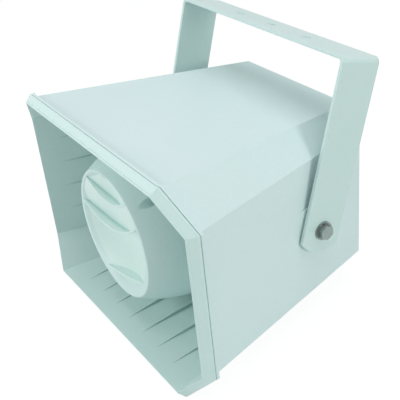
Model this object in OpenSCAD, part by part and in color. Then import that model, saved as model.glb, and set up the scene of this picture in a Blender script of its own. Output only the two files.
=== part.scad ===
// Weatherproof rectangular horn speaker with a vaned bell and a tilting U bracket
// All sizes are in millimetres, the mouth looks along minus Y and +Z is up

/* [Mouth and walls] */
// Inner width of the mouth between its side edges
mouth_w = 260; // [200:1:320]
// Inner height of the mouth between its top and bottom edges
mouth_h = 178; // [165:1:230]
// How far the side edges of the mouth stand back from the top edge
side_back = 10; // [0:0.5:16]
// Width of the corner cut of the mouth, along the top edge
corner_cut = 26.5; // [18:0.5:34]
// Width of the sloping rim face
rim_out = 6; // [3:0.5:9]
// Length of the straight edge behind the rim face
rim_edge = 0.6; // [0.5:0.1:4]
// Thickness of the horn walls
horn_wall = 2; // [1.6:0.1:3]
// Thickness of the housing walls
case_wall = 2; // [1.6:0.1:3]
// Thickness of the sealing gasket in the rim joint
gasket_t = 0.6; // [0.5:0.1:2]
// Width of the housing flange strip behind the gasket
flange_w = 2.4; // [2:0.1:6]
// Depth of the whole body from mouth to back face
body_d = 209; // [195:1:240]
// Loss of half width for each millimetre of depth
taper_x = 0.2525; // [0.2:0.0025:0.26]
// Loss of half height for each millimetre of depth
taper_z = 0.0765; // [0.05:0.0005:0.09]

/* [Horn inside] */
// Depth of the flare from the mouth to the horn back plate
flare_d = 112; // [105:1:120]
// Pitch of the wedge ribs on the walls
rib_pitch = 25; // [20:1:30]
// Thickness of a wedge rib
rib_t = 1.6; // [1.2:0.1:2.4]
// Rise of a floor rib above the floor for each millimetre of depth
rib_rise = 0.07; // [0.04:0.005:0.09]

/* [Bell] */
// Radius of the bell at its front ring
bell_r = 56.5; // [50:0.5:60]
// Depth of the front ring behind the mouth
bell_y = 14.2; // [10:0.2:20]
// How much the bell radius grows towards the back
bell_swell = 15; // [10:0.5:15.5]
// Depth of the rear edge of the bell behind the mouth
bell_end = 92; // [86:1:95]
// Thickness of the bell wall
bell_wall = 2.6; // [2:0.1:3.4]
// Radius of the opening in the front ring
dish_r = 52.5; // [46:0.5:53]
// Depth of the dish behind the vanes
dish_d = 18; // [16:0.5:24]
// Thickness of a vane
vane_t = 1.8; // [1.4:0.1:3]

/* [Driver] */
// Radius of the driver magnet
magnet_r = 41; // [36:1:41]
// Thickness of the driver magnet
magnet_t = 15; // [12:1:18]
// Radius of the voice coil former
coil_r = 17.6; // [15:0.1:19]

/* [Bracket] */
// Width of the bracket strip
strip_w = 38; // [30:1:42]
// Thickness of the bracket strip
strip_t = 3; // [2.5:0.5:4]
// Distance from the side bolts to the top of the bracket
leg_l = 140.5; // [132:0.5:160]
// Angle of the bracket behind upright
bracket_tilt = 17; // [0:1:60]
// Depth of the side bolts behind the mouth
bolt_y = 147; // [142:1:150]
// Diameter of the holes in the bracket top
fix_hole_d = 8; // [6:0.5:10]
// Pitch of the holes in the bracket top
fix_pitch = 45; // [35:1:55]

/* [Hidden] */
$fn = 64;
eps = 0.02;
fit_gap = 0.05;
bore_gap = 0.05;

// walls are measured outwards from the inner face of the flare
horn_out = horn_wall;
case_in = horn_out + 0.25;
case_out = case_in + case_wall;
half_w0 = mouth_w / 2 + taper_x * side_back;
half_h0 = mouth_h / 2;
cut_taper = 0.061;
cut_run = mouth_w / 2 - (half_w0 - corner_cut);
cut_drop = half_h0 - (half_h0 - taper_z * side_back - corner_cut + cut_taper * side_back);
fold = side_back / cut_run;

// joint planes of the rim, measured back from the mouth edge
rim_back = rim_out + rim_edge;
flange_front = rim_back + gasket_t;
flange_back = flange_front + flange_w;

// the origin is the middle of the underside of the whole speaker
z_lift = half_h0 + rim_out;
gland_l = 24;
y_mid = (body_d + gland_l) / 2;

// bracket and bolt stack
thread_r = 4;
pad_y = bolt_y - strip_w / 2;
pad_l = 35;
pad_up = 22.5;
pad_down = 14;
pad_x = half_w0 + case_out - taper_x * pad_y;
friction_t = 1.6;
leg_in = pad_x + friction_t;
leg_out = leg_in + strip_t;
washer_t = 1.6;
spring_t = 1.2;
head_h = 3;
head_r = 6.5;
boss_l = 22;
boss_r = 11;
insert_r = 6;
insert_l = 15;
bend_r = 5;
foot_r = 25;

// horn back plate, driver and what hangs on it
plate_t = 3;
plate_y = flare_d + plate_t;
cap_t = 12;
cap_y = plate_y + cap_t;
cap_r = 52;
diaph_t = 2;
top_plate_y = cap_y + diaph_t;
top_plate_t = 5;
magnet_y = top_plate_y + top_plate_t;
yoke_y = magnet_y + magnet_t;
yoke_t = 5;
throat_r = 11;
spigot_r = 19;
tube_tip = 52;
tube_tip_r = 24;
tube_flange_t = 4;
driver_pcd_r = 47;
driver_screw_r = 1.95;
recess_r = 36;
surround_r = coil_r + 9;

// bell fixing
ring_t = 2.8;
dish_up = 3.2;
vane_front = bell_y + 0.1;
field_front = bell_y + 0.9;
field_back = bell_y + 11;
// circle of each vane: height of its lowest line, radius, turn
upper_vane = [30.2, 60, 3];
middle_vane = [3.9, 88.7, 9.6];
lower_vane = [-39.1, 367, 13.9];
dish_wall = 1.8;
dish_ball = (dish_r * dish_r + dish_d * dish_d) / (2 * dish_d);
dish_ball_y = bell_y + dish_d - dish_ball;
bell_max = bell_r + bell_swell;
post_pcd_r = 64.8;
pocket_y = 48;
pocket_r = 4;
seat_t = 3;
post_r = 2.8;
small_screw_l = 16;
small_screw_r = 1.5;

// housing inside
back_in = body_d - 3;
case_screw_x = 70;
case_screw_z = 60;
case_post_l = 14;
case_joint_y = plate_y + case_post_l;
case_post_r = 5.5;
case_screw_r = 1.95;
case_head_y = case_joint_y + 18;
core_w = 48;
core_h = 40;
core_t = 18;
core_leg = 16;
window_w = 8;
window_h = 24;
coil_proud = 7;
core_x = -34;
core_z = 40;
core_boss = 8;
ear_t = 1.5;
ear_y = back_in - core_boss - ear_t;
ear_x = core_w / 2 + 5;
core_y = ear_y - core_t + 5;
coil_half = core_leg / 2 + window_w - 0.2;
block_x = 34;
block_z = 44;
block_w = 36;
block_h = 14;
block_d = 13;
block_boss = 4;
block_y = back_in - block_boss - block_d;
gland_z = -54;
gland_r = 8;
nut_r = 12.5;
nut_t = 4;
cap_grip = 10;
cable_r = 3.6;

module place() {
    translate([0, -y_mid, z_lift]) children();
}

// Cylinder along Y that starts at depth y
module along_y(y, l, r, r2 = -1) {
    translate([0, y, 0]) rotate([-90, 0, 0]) cylinder(h = l, r1 = r, r2 = r2 < 0 ? r : r2);
}

// Cylinder along X that starts at x
module along_x(x, l, r) {
    translate([x, 0, 0]) rotate([0, 90, 0]) cylinder(h = l, r = r);
}

// Half sizes of the tapered body at depth y, o outside the inner face of the flare
function half_w(y, o) = half_w0 - taper_x * y + o;
function half_h(y, o) = half_h0 - taper_z * y + o;
function half_diag(y, o) = (half_w(y, o) + half_h(y, o)
    - (corner_cut - cut_taper * y + 0.586 * o)) / sqrt(2);

// Wedge between two depths, turned round the horn axis
module wedge(y1, y2, a1, a2, turn) {
    rotate([0, turn, 0]) translate([0, 0, -200]) linear_extrude(400)
        polygon([[-a1, y1], [a1, y1], [a2, y2], [-a2, y2]]);
}

module tapered(y1, y2, o) {
    intersection() {
        wedge(y1, y2, half_w(y1, o), half_w(y2, o), 0);
        wedge(y1, y2, half_h(y1, o), half_h(y2, o), 90);
        wedge(y1, y2, half_diag(y1, o), half_diag(y2, o), 45);
        wedge(y1, y2, half_diag(y1, o), half_diag(y2, o), -45);
    }
}

// Right half of the mouth outline grown by o, as points x and z
function rim_k(o) = (cut_run + 0.586 * o) / cut_run;
function rim_x(o) = mouth_w / 2 - cut_run + 0.414 * o;
function rim_line(o) = [[rim_x(o), half_h0 + o], [mouth_w / 2 + o, half_h0 + o - cut_drop * rim_k(o)]];

// Straight bar with the outline of the mouth grown by o
module rim_bar(o) {
    a = rim_line(o)[0];
    b = rim_line(o)[1];
    translate([0, 60, 0]) rotate([90, 0, 0]) linear_extrude(80) polygon([a, b, [b[0], -b[1]],
        [a[0], -a[1]], [-a[0], -a[1]], [-b[0], -b[1]], [-b[0], b[1]], [-a[0], a[1]]]);
}

// Everything behind the folded rim plane at t
module behind(t) {
    w = 200;
    e = mouth_w / 2 - cut_run;
    translate([0, 0, -150]) linear_extrude(300) polygon([[-e, t], [e, t],
        [w, t + fold * (w - e)], [w, 260], [-w, 260], [-w, t + fold * (w - e)]]);
}

// Slice of the rim bar between two folded planes
module rim_slice(o, t1, t2) {
    difference() {
        intersection() {
            rim_bar(o);
            behind(t1);
        }
        behind(t2);
    }
}

// Bevel of one corner cut, taken off the front
module corner_bevel() {
    a = rim_line(0);
    b = rim_line(rim_out);
    p = [a[0][0], 0, a[0][1]];
    q = [a[1][0], side_back, a[1][1]];
    r = [b[0][0], rim_out, b[0][1]];
    n = cross(r - p, q - p);
    m = n[1] < 0 ? n : -n;
    translate(p) rotate(a = acos(m[2] / norm(m)), v = cross([0, 0, 1], m))
        translate([-150, -150, 0]) cube([300, 300, 60]);
}

module rim_face() {
    side_run = side_back + rim_out + fold * 0.586 * rim_out;
    w = mouth_w / 2;
    difference() {
        intersection() {
            rim_slice(rim_out, -2, rim_back);
            rotate([0, 90, 0]) translate([0, 0, -200]) linear_extrude(400)
                polygon([[-half_h0 + 2, -2], [half_h0 - 2, -2], [half_h0 + rim_out, rim_out],
                    [half_h0 + rim_out, 80], [-half_h0 - rim_out, 80], [-half_h0 - rim_out, rim_out]]);
            translate([0, 0, -200]) linear_extrude(400) polygon([[-w + 10, -2], [w - 10, -2],
                [w, side_back], [w + rim_out, side_run], [w + rim_out, 80],
                [-w - rim_out, 80], [-w - rim_out, side_run], [-w, side_back]]);
        }
        for (m = [0, 1], k = [0, 1]) mirror([m, 0, 0]) mirror([0, 0, k]) corner_bevel();
    }
}

module at_sides() {
    translate([0, bolt_y, 0]) children();
    mirror([1, 0, 0]) translate([0, bolt_y, 0]) children();
}

module at_corners() {
    for (x = [-case_screw_x, case_screw_x], z = [-case_screw_z, case_screw_z])
        translate([x, 0, z]) children();
}

// Three places on a circle round the horn axis, the first one at 45 degrees
module at_three(r) {
    for (a = [45, 165, 285]) rotate([0, -a, 0]) translate([r, 0, 0]) children();
}

module at_four(r) {
    for (a = [45 : 90 : 315]) rotate([0, -a, 0]) translate([r, 0, 0]) children();
}

module wedge_rib(y1, y2, base1, base2, top2, t) {
    rotate([0, 0, 90]) rotate([90, 0, 0]) translate([0, 0, -t / 2]) linear_extrude(t)
        polygon([[y1, base1 - 1], [y2, base2 - 1], [y2, top2], [y1, base1]]);
}

module floor_rib(x) {
    y1 = bell_y - 1;
    z1 = -(half_h0 - taper_z * y1);
    z2 = -(half_h0 - taper_z * flare_d);
    translate([x, 0, 0]) wedge_rib(y1, flare_d, z1, z2, z2 + rib_rise * (flare_d - y1), rib_t);
}

module side_rib(z) {
    y1 = side_back + bell_y + 3;
    x1 = -(half_w0 - taper_x * y1);
    x2 = -(half_w0 - taper_x * flare_d);
    translate([0, 0, z]) rotate([0, 90, 0])
        wedge_rib(y1, flare_d, x1, x2, x2 + 0.85 * rib_rise * (flare_d - y1), rib_t);
}

module housing() {
    color("lightcyan") place() difference() {
        union() {
            intersection() {
                tapered(2, body_d, case_out);
                behind(flange_front);
            }
            rim_slice(rim_out, flange_front, flange_back);
            at_sides() translate([pad_x - 14, pad_y - bolt_y - 4, -pad_down])
                cube([14, pad_l + 4, pad_up + pad_down]);
        }
        difference() {
            tapered(-4, back_in, case_in);
            at_sides() along_x(pad_x - boss_l, boss_l, boss_r);
            at_corners() along_y(case_joint_y, 120, case_post_r);
            at_core_ears() along_y(back_in - core_boss, 10, 4);
            at_block_ends() along_y(back_in - block_boss, 6, 4);
        }
        at_sides() along_x(pad_x - insert_l, 30, insert_r + 0.03);
        at_sides() along_x(pad_x - insert_l - 4, 30, thread_r + 0.3);
        at_corners() along_y(case_joint_y - 1, 120, case_screw_r + bore_gap);
        at_corners() along_y(case_head_y, 120, 3.7);
        at_core_ears() along_y(back_in - core_boss - 1, core_boss, small_screw_r + bore_gap);
        at_block_ends() along_y(back_in - block_boss - 1, block_boss, small_screw_r + bore_gap);
        translate([0, 0, gland_z]) along_y(back_in - 5, 20, gland_r + bore_gap);
    }
}

module horn() {
    color("lightcyan") place() difference() {
        union() {
            rim_face();
            intersection() {
                tapered(0, plate_y, horn_out);
                behind(1);
            }
            at_corners() along_y(plate_y - 1, case_post_l + 1, case_post_r);
        }
        difference() {
            tapered(-20, flare_d, 0);
            for (i = [-3 : 3]) {
                floor_rib(i * rib_pitch);
                rotate([0, 180, 0]) floor_rib(i * rib_pitch);
            }
            for (i = [-1.5 : 1.5]) {
                side_rib(i * rib_pitch);
                rotate([0, 180, 0]) side_rib(i * rib_pitch);
            }
            at_three(post_pcd_r) along_y(pocket_y + seat_t, flare_d - pocket_y, post_r);
        }
        along_y(flare_d - 1, 10, spigot_r + bore_gap);
        at_four(driver_pcd_r) along_y(flare_d - 1, 10, driver_screw_r + bore_gap);
        at_three(post_pcd_r) along_y(pocket_y, 24, small_screw_r + bore_gap);
        at_corners() along_y(plate_y + 2, 30, case_screw_r + bore_gap);
    }
}

module rim_gasket() {
    color("dimgray") place() difference() {
        rim_slice(rim_out - 1.2, rim_back, flange_front);
        tapered(-10, 60, horn_out + 0.15);
    }
}

// Side line of the bell, o inside its outer surface
function bell_line(o) = [for (i = [0 : 10]) [bell_max - bell_swell * (1 - i / 10) * (1 - i / 10) - o,
    bell_y + 5 * i]];

module bell_solid(o, y1) {
    rotate([-90, 0, 0]) rotate_extrude($fn = 96) polygon(concat([[0, bell_end], [0, y1]],
        [for (p = bell_line(o)) if (p[1] > y1 - 0.01) p], [[bell_max - o, bell_end]]));
}

module bell() {
    color("lightcyan") place() difference() {
        union() {
            difference() {
                bell_solid(0, bell_y);
                translate([0, 0.01, 0]) bell_solid(bell_wall, bell_y + 5);
                along_y(bell_y + ring_t, 10, bell_r + 0.7 - bell_wall);
            }
            intersection() {
                at_three(post_pcd_r) along_y(bell_y, pocket_y + seat_t - bell_y, pocket_r + 1.8);
                bell_solid(0.6, bell_y + 10);
            }
        }
        translate([0, dish_ball_y, dish_up]) sphere(dish_ball, $fn = 96);
        at_three(post_pcd_r) along_y(0, pocket_y, pocket_r);
        at_three(post_pcd_r) along_y(pocket_y - 1, 10, small_screw_r + 0.2);
    }
}

// Disc that a vane stands round, grown by o
module vane_disc(v, o) {
    rotate([0, -v[2], 0]) translate([0, 0, v[0] + v[1]]) along_y(bell_y - 5, 50, v[1] + o);
}

// Curved band that bends up at its ends
module vane(v) {
    difference() {
        vane_disc(v, 0);
        vane_disc(v, -vane_t);
    }
}

// Ball that hollows a field r wide and d deep at the front of the vanes
module scoop(x, z, r, d) {
    ball = (r * r + d * d) / (2 * d);
    translate([x, field_front + d - ball, z]) sphere(ball, $fn = 96);
}

module dish(o) {
    translate([0, dish_ball_y, dish_up]) sphere(dish_ball + o, $fn = 96);
}

// The two upper fields between the vanes, hollowed towards the vane below them
module fields() {
    intersection() {
        union() {
            difference() {
                vane_disc(upper_vane, -vane_t + 0.1);
                scoop(-6, 22, 35, 6);
            }
            difference() {
                vane_disc(middle_vane, -vane_t + 0.1);
                vane_disc(upper_vane, -0.1);
                scoop(-8, -25, 62, 9);
            }
        }
        along_y(field_front, 40, bell_r);
    }
}

module vane_plate() {
    place() color("azure") difference() {
        union() {
            difference() {
                union() {
                    along_y(bell_y + ring_t, 2, bell_r + 0.2 - bell_wall);
                    intersection() {
                        dish(dish_wall);
                        along_y(bell_y + ring_t, 40, bell_r + 0.2 - bell_wall);
                    }
                }
                dish(0);
            }
            intersection() {
                union() {
                    vane(upper_vane);
                    vane(middle_vane);
                    vane(lower_vane);
                    fields();
                }
                union() {
                    intersection() {
                        dish(-0.2);
                        along_y(vane_front, 40, bell_r);
                    }
                    intersection() {
                        dish(0.9);
                        along_y(bell_y + ring_t + 0.2, 40, bell_r - bell_wall);
                    }
                }
            }
        }
        intersection() {
            vane_disc(middle_vane, -2 * vane_t);
            along_y(field_back, 40, 46);
        }
    }
}

module pan_screw(r, l, pan_r, pan_h) {
    translate([0, 0, -pan_h / 3]) cylinder(h = l + pan_h / 3, r = r, $fn = 32);
    translate([0, 0, -pan_h]) difference() {
        cylinder(h = pan_h, r1 = pan_r - 0.6, r2 = pan_r, $fn = 32);
        translate([-pan_r * 0.5, -0.35, -1]) cube([pan_r, 0.7, 2]);
        translate([-0.35, -pan_r * 0.5, -1]) cube([0.7, pan_r, 2]);
    }
}

// Screw along plus Y, the underside of its head at depth y
module screw_in(y, r, l, pan_r, pan_h) {
    translate([0, y, 0]) rotate([-90, 0, 0]) pan_screw(r, l, pan_r, pan_h);
}

// Screw put in from the back, the underside of its head at depth y
module screw_back(y, r, l, pan_r, pan_h) {
    translate([0, y, 0]) rotate([90, 0, 0]) pan_screw(r, l, pan_r, pan_h);
}

module bell_screws() {
    color("silver") place() at_three(post_pcd_r)
        screw_in(pocket_y, small_screw_r, small_screw_l, 2.9, 2.2);
}

module tone_tube() {
    color("azure") place() difference() {
        rotate([-90, 0, 0]) rotate_extrude() polygon([
            [throat_r, flare_d], [throat_r, flare_d - 6], [throat_r + 2, 88], [throat_r + 5.5, 70],
            [tube_tip_r - 3, 58], [tube_tip_r, tube_tip], [tube_tip_r + 2, tube_tip],
            [tube_tip_r - 1, 58.6], [throat_r + 7.6, 71], [throat_r + 4.4, 90],
            [throat_r + 3.6, flare_d - tube_flange_t - 2], [throat_r + 6, flare_d - tube_flange_t],
            [cap_r, flare_d - tube_flange_t], [cap_r, flare_d]]);
        at_four(driver_pcd_r) along_y(flare_d - 10, 30, driver_screw_r + bore_gap);
    }
}

module driver_cap() {
    color("gray") place() difference() {
        union() {
            along_y(plate_y, cap_t + diaph_t, cap_r);
            along_y(flare_d + eps, plate_t, spigot_r);
        }
        along_y(flare_d - 1, cap_t, throat_r);
        along_y(plate_y + 4, cap_t - 6.99, throat_r, coil_r);
        along_y(cap_y - 3, 10, surround_r);
        along_y(cap_y, 10, recess_r);
        at_four(driver_pcd_r) along_y(plate_y - 1, 30, driver_screw_r + bore_gap);
    }
}

module diaphragm() {
    color("peru") place() {
        difference() {
            along_y(cap_y, diaph_t, recess_r - 0.4);
            along_y(cap_y - 1, 10, surround_r);
        }
        difference() {
            along_y(cap_y, 0.6, surround_r + 0.5);
            along_y(cap_y - 1, 10, coil_r - 0.5);
        }
        intersection() {
            difference() {
                translate([0, cap_y + 20, 0]) sphere(27, $fn = 72);
                translate([0, cap_y + 20, 0]) sphere(26.4, $fn = 72);
            }
            along_y(cap_y - 10, 10.6, coil_r + 0.5);
        }
    }
}

module voice_coil() {
    color("chocolate") place() difference() {
        along_y(cap_y + 0.6, 9, coil_r + 0.6);
        along_y(cap_y - 1, 20, coil_r);
    }
}

module top_plate() {
    color("lightgray") place() difference() {
        along_y(top_plate_y, top_plate_t, magnet_r + 1.5);
        along_y(top_plate_y - 1, 10, coil_r + 1.2);
    }
}

module magnet() {
    color("dimgray") place() difference() {
        along_y(magnet_y, magnet_t, magnet_r);
        along_y(magnet_y - 1, 30, coil_r + 6);
    }
}

module yoke() {
    color("lightgray") place() {
        along_y(yoke_y, yoke_t, magnet_r + 1.5);
        along_y(top_plate_y, yoke_y - top_plate_y + eps, coil_r - 0.5);
    }
}

module driver_screws() {
    color("silver") place() at_four(driver_pcd_r)
        screw_back(top_plate_y, driver_screw_r, plate_y + cap_t + diaph_t - flare_d + 2, 3.4, 2.6);
}

module at_core_ears() {
    for (s = [-1, 1]) translate([core_x + s * ear_x, 0, core_z]) children();
}

module at_block_ends() {
    for (s = [-1, 1]) translate([block_x + s * (block_w / 2 - 4), 0, block_z]) children();
}

module transformer_core() {
    color("slategray") place() difference() {
        union() {
            translate([core_x - core_w / 2, core_y, core_z - core_h / 2]) cube([core_w, core_t, core_h]);
            translate([core_x - core_w / 2 - 10, ear_y, core_z - 8]) cube([core_w + 20, ear_t, 16]);
        }
        for (s = [-1, 1])
            translate([core_x + s * (core_leg + window_w) / 2 - window_w / 2, core_y - 1, core_z - window_h / 2])
                cube([window_w, core_t + 2, window_h]);
        at_core_ears() along_y(ear_y - 1, 5, small_screw_r + 0.2);
    }
}

module transformer_coil() {
    color("goldenrod") place() difference() {
        translate([core_x - coil_half, core_y - coil_proud, core_z - window_h / 2 + 0.2])
            cube([2 * coil_half, core_t + coil_proud + 3, window_h - 0.4]);
        translate([core_x - core_leg / 2, core_y, core_z - window_h / 2 - 1])
            cube([core_leg, core_t, window_h + 2]);
    }
}

module transformer_screws() {
    color("silver") place() at_core_ears() screw_in(ear_y, small_screw_r, core_boss - 0.5, 2.9, 2.2);
}

module terminal_block() {
    color("black") place() difference() {
        translate([block_x - block_w / 2, block_y, block_z - block_h / 2])
            cube([block_w, block_d, block_h]);
        at_block_ends() along_y(block_y - 1, 30, small_screw_r + 0.2);
        at_block_ends() along_y(block_y - 1, 6, 3.4);
        for (s = [-1, 1]) translate([block_x + s * 5, 0, block_z]) {
            along_y(block_y - 1, 5, 3.3);
            along_y(block_y, 9, small_screw_r + bore_gap);
            translate([-2, block_y + 5, -block_h]) cube([4, 4, 2 * block_h]);
        }
    }
}

module terminal_screws() {
    color("silver") place() {
        at_block_ends() screw_in(block_y + 5, small_screw_r, block_d - 5 + 3, 2.9, 2.2);
        for (s = [-1, 1]) translate([block_x + s * 5, 0, block_z])
            screw_in(block_y + 4, small_screw_r, 4.8, 2.9, 2.2);
    }
}

module case_screws() {
    color("silver") place() at_corners()
        screw_back(case_head_y, case_screw_r, case_head_y - plate_y - 3, 3.5, 2.6);
}

module gland_body() {
    color("gray") place() translate([0, 0, gland_z]) difference() {
        union() {
            along_y(back_in - 6, 15, gland_r);
            along_y(body_d + 1.5, 5, 12);
            along_y(body_d + 6, 8, gland_r + 0.6);
        }
        along_y(back_in - 10, 60, 4.4);
        along_y(body_d + 9, 10, 6.6);
    }
}

module gland_nut() {
    color("gray") place() translate([0, 0, gland_z]) difference() {
        translate([0, back_in - nut_t, 0]) rotate([-90, 0, 0]) cylinder(h = nut_t, r = nut_r, $fn = 6);
        along_y(back_in - 6, 10, gland_r + 0.03);
    }
}

module gland_cap() {
    color("gray") place() translate([0, 0, gland_z]) difference() {
        union() {
            translate([0, body_d + 7, 0]) rotate([-90, 0, 0]) cylinder(h = cap_grip, r = nut_r, $fn = 6);
            along_y(body_d + 7 + cap_grip, gland_l - 7 - cap_grip, nut_r - 2, nut_r - 5.5);
        }
        along_y(body_d + 6, 9.5, gland_r + 0.63);
        along_y(body_d + 6, 40, 4.6);
    }
}

module gland_seal() {
    color("dimgray") place() translate([0, 0, gland_z]) {
        difference() {
            along_y(body_d, 1.5, 12);
            along_y(body_d - 1, 5, gland_r + 0.03);
        }
        difference() {
            along_y(body_d + 9, 6.5, 6.57);
            along_y(body_d, 40, cable_r);
        }
    }
}

// Outline of the bracket seen from the front, with round bends of radius r
module u_shape(w, top, r) {
    translate([-w, -60]) square([2 * w, 60 + top - r]);
    translate([-w + r, 0]) square([2 * (w - r), top]);
    for (s = [-1, 1]) translate([s * (w - r), top - r]) circle(r);
}

// Outline of a leg seen from the side, its foot ends in an arc
module leg_side() {
    foot = strip_w / 2 + 0.5;
    translate([-strip_w / 2, 0]) square([strip_w, leg_l + foot]);
    intersection() {
        translate([-strip_w / 2, -foot - 1]) square([strip_w, foot + 2]);
        translate([0, foot_r - foot]) circle(foot_r);
    }
}

module bracket() {
    color("lightcyan") place() translate([0, bolt_y, 0]) rotate([-bracket_tilt, 0, 0])
        difference() {
            intersection() {
                rotate([90, 0, 0]) translate([0, 0, -strip_w]) linear_extrude(2 * strip_w)
                    difference() {
                        u_shape(leg_out, leg_l, bend_r);
                        translate([0, -1]) u_shape(leg_in, leg_l - strip_t + 1, bend_r - strip_t);
                    }
                rotate([90, 0, 90]) translate([0, 0, -leg_out - 5]) linear_extrude(2 * leg_out + 10)
                    leg_side();
            }
            along_x(-leg_out - 5, 2 * leg_out + 10, thread_r + bore_gap);
            for (i = [-1 : 1]) translate([i * fix_pitch, 0, leg_l - 10])
                cylinder(h = 20, r = fix_hole_d / 2);
        }
}

module side_bolts() {
    color("silver") place() at_sides() {
        along_x(pad_x - 12, leg_out - pad_x + washer_t + spring_t + 12 + eps, thread_r);
        translate([leg_out + washer_t + spring_t, 0, 0]) rotate([0, 90, 0]) intersection() {
            cylinder(h = head_h, r = head_r, $fn = 6);
            cylinder(h = head_h, r1 = head_r + 1.1, r2 = head_r - 0.4);
        }
    }
}

module flat_washers() {
    color("silver") place() at_sides() difference() {
        along_x(leg_out, washer_t, 8);
        along_x(leg_out - 1, 10, thread_r + 0.2);
    }
}

module spring_washers() {
    color("gray") place() at_sides() difference() {
        along_x(leg_out + washer_t, spring_t, 6.8);
        along_x(leg_out - 1, 10, thread_r + 0.15);
        translate([leg_out, -0.5, 3]) rotate([15, 0, 0]) cube([10, 1, 5]);
    }
}

module friction_washers() {
    color("dimgray") place() at_sides() difference() {
        along_x(pad_x, friction_t - fit_gap, 14);
        along_x(pad_x - 1, 10, thread_r + 0.2);
    }
}

module inserts() {
    color("gold") place() at_sides() difference() {
        along_x(pad_x - insert_l, insert_l, insert_r);
        along_x(pad_x - insert_l - 1, 30, thread_r + 0.03);
    }
}

housing();
horn();
rim_gasket();
bell();
vane_plate();
bell_screws();
tone_tube();
driver_cap();
diaphragm();
voice_coil();
top_plate();
magnet();
yoke();
driver_screws();
transformer_core();
transformer_coil();
transformer_screws();
terminal_block();
terminal_screws();
case_screws();
gland_body();
gland_nut();
gland_cap();
gland_seal();
bracket();
side_bolts();
flat_washers();
spring_washers();
friction_washers();
inserts();
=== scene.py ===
import math

import bmesh
import bpy
from mathutils import Matrix, Vector


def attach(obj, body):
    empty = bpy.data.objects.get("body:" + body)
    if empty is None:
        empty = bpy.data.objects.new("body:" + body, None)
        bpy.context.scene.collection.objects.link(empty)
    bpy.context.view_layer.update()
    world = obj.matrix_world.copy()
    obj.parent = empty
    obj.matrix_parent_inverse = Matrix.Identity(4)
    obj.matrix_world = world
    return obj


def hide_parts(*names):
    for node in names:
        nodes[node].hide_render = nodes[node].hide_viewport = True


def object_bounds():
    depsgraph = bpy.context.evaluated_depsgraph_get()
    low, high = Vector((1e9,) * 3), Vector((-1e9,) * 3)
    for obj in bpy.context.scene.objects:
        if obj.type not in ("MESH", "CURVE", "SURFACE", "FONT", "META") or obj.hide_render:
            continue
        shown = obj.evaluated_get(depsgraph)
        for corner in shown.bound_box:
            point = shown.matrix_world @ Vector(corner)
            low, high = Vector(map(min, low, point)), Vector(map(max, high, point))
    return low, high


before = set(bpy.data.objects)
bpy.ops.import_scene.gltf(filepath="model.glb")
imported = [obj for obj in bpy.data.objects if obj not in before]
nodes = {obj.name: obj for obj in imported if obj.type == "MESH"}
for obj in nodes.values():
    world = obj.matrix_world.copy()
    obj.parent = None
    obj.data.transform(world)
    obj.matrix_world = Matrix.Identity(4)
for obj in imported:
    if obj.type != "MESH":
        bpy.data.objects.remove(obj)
cad_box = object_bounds()

# The camera stands to the right of the mouth and above it, as the photograph was taken.
# The frame is square, and the lens was solved together with the shape of the horn.
camera = bpy.data.objects.new("camera", bpy.data.cameras.new("camera"))
bpy.context.scene.collection.objects.link(camera)
camera.data.sensor_width = 36.0
camera.data.lens = 72.47
right = Vector((0.54618, 0.83240, -0.09379))
down = Vector((0.38466, -0.34869, -0.85467))
ahead = Vector((-0.74413, 0.43073, -0.51064))
turned = Matrix((right, -down, -ahead)).transposed().to_4x4()
camera.matrix_world = Matrix.Translation((0.52437, -0.31950, 0.45300)) @ turned
camera.data.clip_start = 0.02
camera.data.clip_end = 20.0
bpy.context.scene.camera = camera
bpy.context.scene.view_settings.view_transform = "Standard"


# The light of a plain studio: a pale room that shows white, a wide softbox overhead,
# a small one from the right and one from the front left.
def seen_directly(tree):
    """A value that is 1 for what the camera sees, straight or mirrored in a gloss."""
    path = tree.nodes.new("ShaderNodeLightPath")
    most = tree.nodes.new("ShaderNodeMath")
    most.operation = "MAXIMUM"
    tree.links.new(path.outputs["Is Camera Ray"], most.inputs[0])
    tree.links.new(path.outputs["Is Glossy Ray"], most.inputs[1])
    return most.outputs[0]


world = bpy.data.worlds.new("room")
bpy.context.scene.world = world
world.use_nodes = True
room = world.node_tree
room.nodes.clear()
room_out = room.nodes.new("ShaderNodeOutputWorld")
room_light = room.nodes.new("ShaderNodeBackground")
room_light.inputs["Color"].default_value = (0.93, 1.0, 0.99, 1.0)
room_light.inputs["Strength"].default_value = 0.35
room_seen = room.nodes.new("ShaderNodeBackground")
room_seen.inputs["Color"].default_value = (1.0, 1.0, 1.0, 1.0)
room_seen.inputs["Strength"].default_value = 1.0
room_mix = room.nodes.new("ShaderNodeMixShader")
room.links.new(seen_directly(room), room_mix.inputs["Fac"])
room.links.new(room_light.outputs[0], room_mix.inputs[1])
room.links.new(room_seen.outputs[0], room_mix.inputs[2])
room.links.new(room_mix.outputs[0], room_out.inputs["Surface"])

lit_point = Vector((0.0, 0.0, 0.1))


def softbox(name, place, size, watts, colour):
    data = bpy.data.lights.new(name, "AREA")
    data.shape = "DISK"
    data.size = size
    data.energy = watts
    data.color = colour
    lamp = bpy.data.objects.new(name, data)
    bpy.context.scene.collection.objects.link(lamp)
    lamp.location = place
    lamp.rotation_euler = (lit_point - Vector(place)).to_track_quat("-Z", "Y").to_euler()


softbox("overhead", (0.22, 0.02, 1.6), size=1.35, watts=11.0, colour=(1.0, 0.965, 1.0))
softbox("side", (1.7, 0.4, 0.50), size=0.55, watts=6.8, colour=(0.94, 1.0, 0.95))
softbox("front", (-0.6, -1.6, 0.8), size=0.8, watts=11.8, colour=(1.0, 1.0, 0.99))

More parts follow.
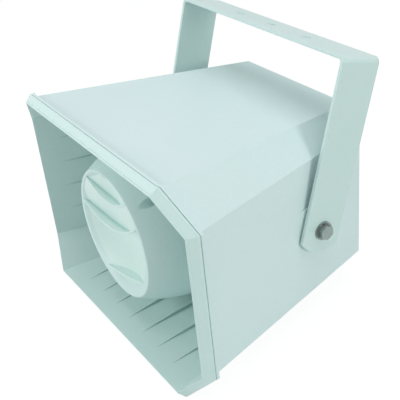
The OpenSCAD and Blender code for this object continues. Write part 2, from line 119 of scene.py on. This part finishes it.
# The floor is a pale sheet that shows nearly white and keeps the soft shadow of the speaker.
sheet = bmesh.new()
bmesh.ops.create_grid(sheet, x_segments=2, y_segments=2, size=6.0)
floor_mesh = bpy.data.meshes.new("floor")
sheet.to_mesh(floor_mesh)
sheet.free()
floor = bpy.data.objects.new("floor", floor_mesh)
bpy.context.scene.collection.objects.link(floor)
pale_floor = bpy.data.materials.new("pale_floor")
pale_floor.use_nodes = True
sheet_tree = pale_floor.node_tree
sheet_tree.nodes.clear()
sheet_out = sheet_tree.nodes.new("ShaderNodeOutputMaterial")
sheet_lit = sheet_tree.nodes.new("ShaderNodeBsdfDiffuse")
sheet_lit.inputs["Color"].default_value = (0.82, 0.84, 0.84, 1.0)
sheet_white = sheet_tree.nodes.new("ShaderNodeEmission")
sheet_white.inputs["Color"].default_value = (1.0, 1.0, 1.0, 1.0)
sheet_white.inputs["Strength"].default_value = 1.08
white_share = sheet_tree.nodes.new("ShaderNodeMath")
white_share.operation = "MULTIPLY"
white_share.inputs[1].default_value = 0.86
sheet_mix = sheet_tree.nodes.new("ShaderNodeMixShader")
sheet_tree.links.new(seen_directly(sheet_tree), white_share.inputs[0])
sheet_tree.links.new(white_share.outputs[0], sheet_mix.inputs["Fac"])
sheet_tree.links.new(sheet_lit.outputs[0], sheet_mix.inputs[1])
sheet_tree.links.new(sheet_white.outputs[0], sheet_mix.inputs[2])
sheet_tree.links.new(sheet_mix.outputs[0], sheet_out.inputs["Surface"])
floor.data.materials.append(pale_floor)


# The housing is the tapered outer case, one injection moulding of pale UV stable plastic.
# Its flange strip meets the horn behind the rim, and pads on its sides carry the bracket.
def new_socket(tree, name, in_out, kind):
    tree.interface.new_socket(name=name, in_out=in_out, socket_type=kind)


def moulded_surface():
    """Cloudy tone, fine grain and a trace of dust of a satin plastic moulding."""
    tree = bpy.data.node_groups.new("moulded_surface", "ShaderNodeTree")
    new_socket(tree, "Colour", "INPUT", "NodeSocketColor")
    new_socket(tree, "Deep", "INPUT", "NodeSocketColor")
    new_socket(tree, "Gloss", "INPUT", "NodeSocketFloat")
    new_socket(tree, "Colour", "OUTPUT", "NodeSocketColor")
    new_socket(tree, "Roughness", "OUTPUT", "NodeSocketFloat")
    new_socket(tree, "Height", "OUTPUT", "NodeSocketFloat")
    new = tree.nodes.new
    link = tree.links.new
    into = new("NodeGroupInput")
    out = new("NodeGroupOutput")
    coords = new("ShaderNodeTexCoord")
    cloud = new("ShaderNodeTexNoise")
    cloud.inputs["Scale"].default_value = 11.0
    cloud.inputs["Detail"].default_value = 3.0
    cloud.inputs["Roughness"].default_value = 0.55
    speck = new("ShaderNodeTexNoise")
    speck.inputs["Scale"].default_value = 420.0
    speck.inputs["Detail"].default_value = 2.0
    grain = new("ShaderNodeTexNoise")
    grain.inputs["Scale"].default_value = 1400.0
    grain.inputs["Detail"].default_value = 1.0
    for texture in (cloud, speck, grain):
        link(coords.outputs["Object"], texture.inputs["Vector"])
    span = new("ShaderNodeMapRange")
    span.inputs["From Min"].default_value = 0.35
    span.inputs["From Max"].default_value = 0.68
    link(cloud.outputs["Fac"], span.inputs["Value"])
    part = new("ShaderNodeMath")
    part.operation = "MULTIPLY"
    part.inputs[1].default_value = 0.35
    link(span.outputs["Result"], part.inputs[0])
    tone = new("ShaderNodeMix")
    tone.data_type = "RGBA"
    link(part.outputs[0], tone.inputs["Factor"])
    link(into.outputs["Colour"], tone.inputs["A"])
    link(into.outputs["Deep"], tone.inputs["B"])
    fleck = new("ShaderNodeMapRange")
    fleck.inputs["From Min"].default_value = 0.3
    fleck.inputs["From Max"].default_value = 0.75
    fleck.inputs["To Min"].default_value = 0.985
    fleck.inputs["To Max"].default_value = 1.012
    link(speck.outputs["Fac"], fleck.inputs["Value"])
    flecked = new("ShaderNodeVectorMath")
    flecked.operation = "SCALE"
    link(tone.outputs["Result"], flecked.inputs[0])
    link(fleck.outputs["Result"], flecked.inputs["Scale"])
    link(flecked.outputs["Vector"], out.inputs["Colour"])
    rough = new("ShaderNodeMath")
    rough.operation = "MULTIPLY_ADD"
    rough.inputs[1].default_value = 0.10
    link(span.outputs["Result"], rough.inputs[0])
    link(into.outputs["Gloss"], rough.inputs[2])
    link(rough.outputs[0], out.inputs["Roughness"])
    link(grain.outputs["Fac"], out.inputs["Height"])
    return tree


def painted_corner_shade():
    """Painted shade: a mask, from ambient occlusion, that falls in the corners of one moulding, as beside
    its ribs and vanes.
    """
    tree = bpy.data.node_groups.new("painted_corner_shade", "ShaderNodeTree")
    new_socket(tree, "Open", "OUTPUT", "NodeSocketFloat")
    out = tree.nodes.new("NodeGroupOutput")
    near = tree.nodes.new("ShaderNodeAmbientOcclusion")
    near.samples = 8
    near.only_local = True
    near.inputs["Distance"].default_value = 0.006
    span = tree.nodes.new("ShaderNodeMapRange")
    span.inputs["From Min"].default_value = 0.15
    span.inputs["From Max"].default_value = 0.80
    tree.links.new(near.outputs["AO"], span.inputs["Value"])
    tree.links.new(span.outputs["Result"], out.inputs["Open"])
    return tree


surface_group = moulded_surface()
# Every moulded plastic below, and the bracket's paint, gets shade painted into the corners of its
# moulding.
painted_shade_group = painted_corner_shade()


def moulded_plastic(name, colour, deep, gloss, painted_shade_level=0.42):
    """A satin plastic between two tones, with shade painted into its colour where the corner mask falls.
    """
    finish = bpy.data.materials.new(name)
    finish.use_nodes = True
    tree = finish.node_tree
    shader = tree.nodes["Principled BSDF"]
    surface = tree.nodes.new("ShaderNodeGroup")
    surface.node_tree = surface_group
    surface.inputs["Colour"].default_value = (*colour, 1.0)
    surface.inputs["Deep"].default_value = (*deep, 1.0)
    surface.inputs["Gloss"].default_value = gloss
    corners = tree.nodes.new("ShaderNodeGroup")
    corners.node_tree = painted_shade_group
    # This mix paints shade into the base colour: a darker, tealer copy of the deep tone where the corner
    # mask falls.
    shade = tree.nodes.new("ShaderNodeMix")
    shade.data_type = "RGBA"
    shade.inputs["A"].default_value = (deep[0] * painted_shade_level * 0.75, deep[1] * painted_shade_level, deep[2] * painted_shade_level, 1.0)
    bump = tree.nodes.new("ShaderNodeBump")
    bump.inputs["Strength"].default_value = 0.35
    bump.inputs["Distance"].default_value = 0.00003
    tree.links.new(corners.outputs["Open"], shade.inputs["Factor"])
    tree.links.new(surface.outputs["Colour"], shade.inputs["B"])
    tree.links.new(shade.outputs["Result"], shader.inputs["Base Color"])
    tree.links.new(surface.outputs["Roughness"], shader.inputs["Roughness"])
    tree.links.new(surface.outputs["Height"], bump.inputs["Height"])
    tree.links.new(bump.outputs["Normal"], shader.inputs["Normal"])
    shader.inputs["IOR"].default_value = 1.46
    shader.inputs["Specular IOR Level"].default_value = 0.45
    return finish


def dress(node, finish):
    """Give the node's own shape this one material."""
    data = nodes[node].data
    data.materials.clear()
    data.materials.append(finish)


case_plastic = moulded_plastic("case_plastic", (0.700, 0.838, 0.844), (0.660, 0.816, 0.804), gloss=0.46)
dress("housing", case_plastic)

# The horn is the flared mouth with its sloping rim and wedge ribs, moulded in the same plastic.
# Its walls are polished a little more than the case, and rib crests and rim edges are rounded.
weld_distance = 0.000008
flat_turn = 0.004
curve_turn = 0.3
wall_area = 0.0004
rounding_area = 0.0003


def curved_faces(shape):
    """Shade the small faces of curved surfaces smooth, and flat faces and large walls flat."""
    for face in shape.faces:
        face.smooth = False
        if face.calc_area() > wall_area:
            continue
        for edge in face.edges:
            if len(edge.link_faces) == 2 and flat_turn < edge.calc_face_angle() < curve_turn:
                face.smooth = True


def merged_copy(node):
    """The node's shape with its triangles joined and its flat faces made whole."""
    shape = bmesh.new()
    shape.from_mesh(nodes[node].data)
    bmesh.ops.remove_doubles(shape, verts=shape.verts, dist=weld_distance)
    bmesh.ops.dissolve_limit(shape, angle_limit=flat_turn, use_dissolve_boundaries=False,
                             verts=shape.verts, edges=shape.edges, delimit={"NORMAL"})
    curved_faces(shape)
    return shape


def sharp_edges(shape, least_turn, least_length):
    """Edges that turn by more than least_turn degrees and are longer than least_length metres."""
    found = []
    for edge in shape.edges:
        if len(edge.link_faces) == 2 and edge.calc_length() > least_length:
            if edge.calc_face_angle() > math.radians(least_turn):
                found.append(edge)
    return found


def round_edges(shape, edges, width, steps=2):
    made = bmesh.ops.bevel(shape, geom=edges, offset=width, offset_type="OFFSET", affect="EDGES",
                           segments=steps, profile=0.5, material=-1, clamp_overlap=False)
    for face in made["faces"]:
        face.smooth = face.calc_area() < rounding_area


def finished_piece(name, shape, body, finish, node, sharp=32.0):
    """Make the piece that stands for the node, with edges over sharp degrees kept crisp."""
    bmesh.ops.recalc_face_normals(shape, faces=shape.faces)
    for edge in shape.edges:
        edge.smooth = len(edge.link_faces) == 2 and edge.calc_face_angle() < math.radians(sharp)
    data = bpy.data.meshes.new(name)
    shape.to_mesh(data)
    shape.free()
    piece = bpy.data.objects.new(name, data)
    bpy.context.scene.collection.objects.link(piece)
    data.materials.append(finish)
    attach(piece, body)
    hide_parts(node)


horn_plastic = moulded_plastic("horn_plastic", (0.668, 0.838, 0.817), (0.628, 0.812, 0.780), gloss=0.40)
dress("horn", horn_plastic)
rib_side_area = 0.00014
rim_back = -0.085
horn_shape = merged_copy("horn")
rib_crests = [edge for edge in sharp_edges(horn_shape, least_turn=25.0, least_length=0.012)
              if edge.is_convex and max(face.calc_area() for face in edge.link_faces) < rib_side_area]
rim_edges = [edge for edge in sharp_edges(horn_shape, least_turn=25.0, least_length=0.02)
             if edge.is_convex and max(vert.co.y for vert in edge.verts) < rim_back]
round_edges(horn_shape, rib_crests, width=0.0004)
round_edges(horn_shape, [edge for edge in rim_edges if edge.is_valid], width=0.0004)
finished_piece("moulded_horn", horn_shape, "case", horn_plastic, "horn")


# The gasket is a pale foam rubber cord squeezed in the rim joint.
# The friction washers between legs and case, and the seal of the cable gland, are black rubber.
def matt_finish(name, colour, rough):
    """A matt stuff such as rubber, with a fine speckle towards a lighter tone."""
    finish = bpy.data.materials.new(name)
    finish.use_nodes = True
    tree = finish.node_tree
    shader = tree.nodes["Principled BSDF"]
    coords = tree.nodes.new("ShaderNodeTexCoord")
    noise = tree.nodes.new("ShaderNodeTexNoise")
    noise.inputs["Scale"].default_value = 900.0
    tone = tree.nodes.new("ShaderNodeMix")
    tone.data_type = "RGBA"
    tone.inputs["A"].default_value = (*colour, 1.0)
    tone.inputs["B"].default_value = (*[part * 1.5 for part in colour], 1.0)
    bump = tree.nodes.new("ShaderNodeBump")
    bump.inputs["Strength"].default_value = 0.5
    bump.inputs["Distance"].default_value = 0.0001
    tree.links.new(coords.outputs["Object"], noise.inputs["Vector"])
    tree.links.new(noise.outputs["Fac"], tone.inputs["Factor"])
    tree.links.new(tone.outputs["Result"], shader.inputs["Base Color"])
    tree.links.new(noise.outputs["Fac"], bump.inputs["Height"])
    tree.links.new(bump.outputs["Normal"], shader.inputs["Normal"])
    shader.inputs["Roughness"].default_value = rough
    return finish


black_rubber = matt_finish("black_rubber", (0.035, 0.040, 0.040), 0.75)
dress("rim_gasket", matt_finish("rim_cord", (0.60, 0.76, 0.73), 0.75))
dress("friction_washers", black_rubber)
dress("gland_seal", black_rubber)

# The bell is the round reflector, one moulding that stands on three posts of the horn.
# The edge round its front ring is rounded, as a moulded edge is.
horn_axis = 0.095
rim_front = cad_box[0][1]
bell_front = rim_front + 0.0142
bell_radius = 0.0565
ring_play = 0.0005
plane_play = 0.00003


def ring_edges(shape, depth, least, most):
    """Edges that lie in the plane at depth, between two distances from the horn axis."""
    found = []
    for edge in shape.edges:
        ends = [vert.co for vert in edge.verts]
        radii = [math.hypot(end.x, end.z - horn_axis) for end in ends]
        in_plane = all(abs(end.y - depth) < plane_play for end in ends)
        if in_plane and least < min(radii) and max(radii) < most:
            if len(edge.link_faces) == 2 and edge.calc_face_angle() > curve_turn:
                found.append(edge)
    return found


bell_plastic = moulded_plastic("bell_plastic", (0.655, 0.826, 0.812), (0.612, 0.802, 0.776), gloss=0.36)
dress("bell", bell_plastic)
bell_shape = merged_copy("bell")
bell_rim = ring_edges(bell_shape, bell_front, bell_radius - ring_play, bell_radius + ring_play)
round_edges(bell_shape, bell_rim, width=0.0006, steps=3)
finished_piece("reflector_bell", bell_shape, "case", bell_plastic, "bell")

# The vane plate is a second moulding, the dish with its curved vanes, fixed behind the front ring.
# The two upper vanes end in thin rounded lines, and the lowest one keeps a crisp line.
vane_front = bell_front + 0.0001
vane_reach = 0.0535
lowest_vane_top = 0.07
# The vane plate gets a lighter painted shade in its corners than the other mouldings.
vane_plastic = moulded_plastic("vane_plastic", (0.705, 0.868, 0.833), (0.664, 0.846, 0.800), gloss=0.36,
                               painted_shade_level=0.70)
dress("vane_plate", vane_plastic)
vane_shape = merged_copy("vane_plate")
vane_lines = [edge for edge in ring_edges(vane_shape, vane_front, 0.0, vane_reach)
              if edge.is_convex and min(vert.co.z for vert in edge.verts) > lowest_vane_top]
round_edges(vane_shape, vane_lines, width=0.0004)
finished_piece("vane_moulding", vane_shape, "case", vane_plastic, "vane_plate",
               sharp=50.0)

# The tone tube leads the sound forward from the driver into the bell.
# It is moulded in the same plastic as the vane plate.
dress("tone_tube", vane_plastic)


# The side bolts, their flat washers and all screws are zinc plated steel, a little dulled.
# The spring washers are darker spring steel. The bolts pass through the legs of the bracket.
def metal_finish(name, colour, rough, streak=260.0):
    """A metal that is dulled unevenly. A higher streak makes the dull spots finer."""
    finish = bpy.data.materials.new(name)
    finish.use_nodes = True
    tree = finish.node_tree
    shader = tree.nodes["Principled BSDF"]
    coords = tree.nodes.new("ShaderNodeTexCoord")
    noise = tree.nodes.new("ShaderNodeTexNoise")
    noise.inputs["Scale"].default_value = streak
    noise.inputs["Detail"].default_value = 4.0
    tone = tree.nodes.new("ShaderNodeMix")
    tone.data_type = "RGBA"
    tone.inputs["A"].default_value = (*[part * 0.78 for part in colour], 1.0)
    tone.inputs["B"].default_value = (*colour, 1.0)
    level = tree.nodes.new("ShaderNodeMapRange")
    level.inputs["From Min"].default_value = 0.3
    level.inputs["From Max"].default_value = 0.7
    level.inputs["To Min"].default_value = rough - 0.08
    level.inputs["To Max"].default_value = rough + 0.12
    bump = tree.nodes.new("ShaderNodeBump")
    bump.inputs["Strength"].default_value = 0.2
    bump.inputs["Distance"].default_value = 0.00005
    tree.links.new(coords.outputs["Object"], noise.inputs["Vector"])
    tree.links.new(noise.outputs["Fac"], tone.inputs["Factor"])
    tree.links.new(noise.outputs["Fac"], level.inputs["Value"])
    tree.links.new(noise.outputs["Fac"], bump.inputs["Height"])
    tree.links.new(tone.outputs["Result"], shader.inputs["Base Color"])
    tree.links.new(level.outputs["Result"], shader.inputs["Roughness"])
    tree.links.new(bump.outputs["Normal"], shader.inputs["Normal"])
    shader.inputs["Metallic"].default_value = 1.0
    return finish


zinc = metal_finish("zinc_steel", (0.33, 0.40, 0.385), 0.30)
for name in ("bell_screws", "driver_screws", "transformer_screws", "terminal_screws", "case_screws",
             "side_bolts", "flat_washers"):
    dress(name, zinc)
dress("spring_washers", metal_finish("spring_steel", (0.30, 0.31, 0.31), 0.38))

# The driver has a cast aluminium cap, a phenolic diaphragm with a coil of copper wire,
# and a ferrite magnet between a plated top plate and yoke.
dress("driver_cap", metal_finish("cast_aluminium", (0.55, 0.56, 0.57), 0.5, 700.0))
dress("diaphragm", matt_finish("phenolic", (0.30, 0.15, 0.06), 0.6))
dress("voice_coil", metal_finish("copper_wire", (0.75, 0.36, 0.20), 0.3, 1500.0))
dress("magnet", matt_finish("ferrite", (0.05, 0.05, 0.055), 0.55))
dress("top_plate", zinc)
dress("yoke", zinc)

# The line transformer is a stack of core steel round a taped coil.
# Its wires end in a terminal block of black plastic.
dress("transformer_core", metal_finish("core_steel", (0.16, 0.17, 0.19), 0.5, 900.0))
dress("transformer_coil", matt_finish("coil_tape", (0.42, 0.30, 0.05), 0.4))
dress("terminal_block", matt_finish("black_plastic", (0.03, 0.03, 0.03), 0.45))

# The threaded inserts are turned from brass and pressed into the side pads of the housing,
# where they take the side bolts.
dress("inserts", metal_finish("brass", (0.72, 0.55, 0.26), 0.3))

# The cable gland is moulded in grey plastic: a threaded body, its lock nut and its cap.
# The body goes through the back of the housing, and the nut holds it from inside.
gland_plastic = moulded_plastic("gland_plastic", (0.30, 0.36, 0.36), (0.27, 0.33, 0.33), gloss=0.40)
for name in ("gland_body", "gland_nut", "gland_cap"):
    dress(name, gland_plastic)

# The bracket is one steel strip, punched, bent to a U and powder coated in the colour of the case.
# The coat rounds every cut edge of the strip, and its legs hang on the two side bolts.
bracket_paint = moulded_plastic("bracket_paint", (0.640, 0.800, 0.778), (0.600, 0.772, 0.738), gloss=0.40)
dress("bracket", bracket_paint)
strip_shape = merged_copy("bracket")
cut_edges = sharp_edges(strip_shape, least_turn=40.0, least_length=0.0)
round_edges(strip_shape, cut_edges, width=0.0005)
finished_piece("painted_bracket", strip_shape, "bracket", bracket_paint, "bracket")
